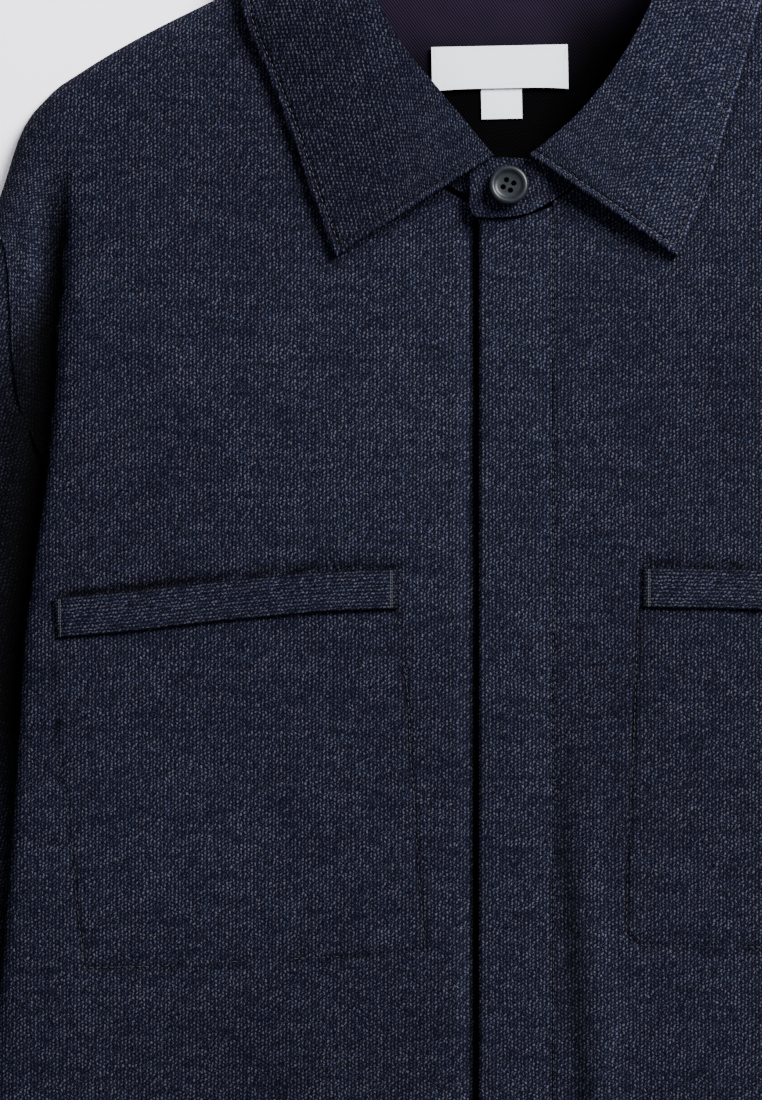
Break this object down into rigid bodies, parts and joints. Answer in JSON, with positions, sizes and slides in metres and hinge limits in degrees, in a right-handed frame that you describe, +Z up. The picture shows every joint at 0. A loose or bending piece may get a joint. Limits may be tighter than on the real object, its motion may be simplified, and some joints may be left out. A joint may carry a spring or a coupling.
{
  "type": "shacket laid flat",
  "caption": "Boxy shacket in heavy navy marled knit, laid flat: turned-down collar, fly placket, welt chest pockets, dropped shoulders, dark neck lining.",
  "frame": {"origin": "middle of the box round the garment, on the surface that it lies on", "axes": "+Z up from that surface, +Y towards the collar, +X towards the wearer's left front"},
  "size_m": [0.572, 0.801, 0.028],
  "materials": {
    "knit": "matte",
    "lining": "satin",
    "label": "satin",
    "button": "satin"
  },
  "bodies": {
    "root": {"back_panel": "knit", "front_right": "knit", "front_left": "knit", "fly_placket": "knit", "sleeve_right": "knit", "sleeve_left": "knit", "collar_stand": "knit", "collar_leaf": "knit", "neck_lining": "lining", "size_label": "label", "main_label": "label", "welt_right": "knit", "welt_left": "knit", "collar_button": "button"}
  },
  "joints": []
}
